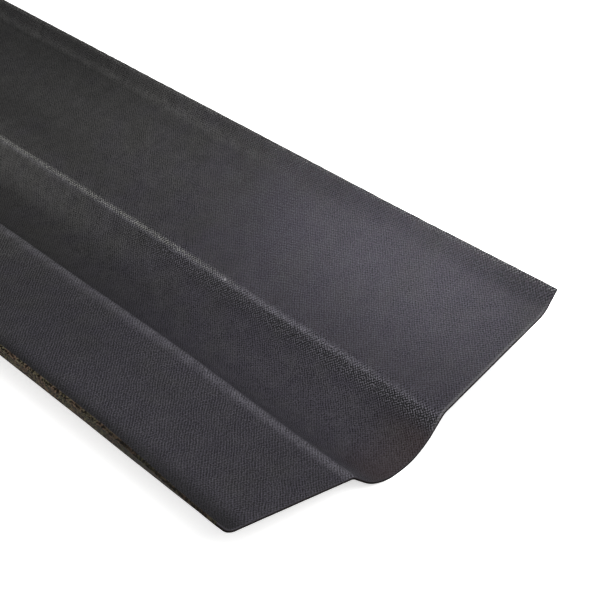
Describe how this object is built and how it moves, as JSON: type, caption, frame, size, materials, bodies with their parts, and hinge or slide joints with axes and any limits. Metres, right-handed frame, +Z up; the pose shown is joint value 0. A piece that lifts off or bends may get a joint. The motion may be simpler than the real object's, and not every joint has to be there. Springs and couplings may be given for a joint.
{
  "type": "roof valley sheet",
  "caption": "Moulded black bitumen-fibre roof valley sheet: a round water channel between sloping wings that end in upturned lips.",
  "frame": {"origin": "under the middle of the channel, half way along the sheet, on the line that rests on the floor", "axes": "+X across the sheet, +Y along the valley, +Z up out of the channel"},
  "size_m": [0.36, 1, 0.0776],
  "materials": {
    "bitumen_board": "matte"
  },
  "bodies": {
    "root": {"valley_sheet": "bitumen_board"}
  },
  "joints": []
}
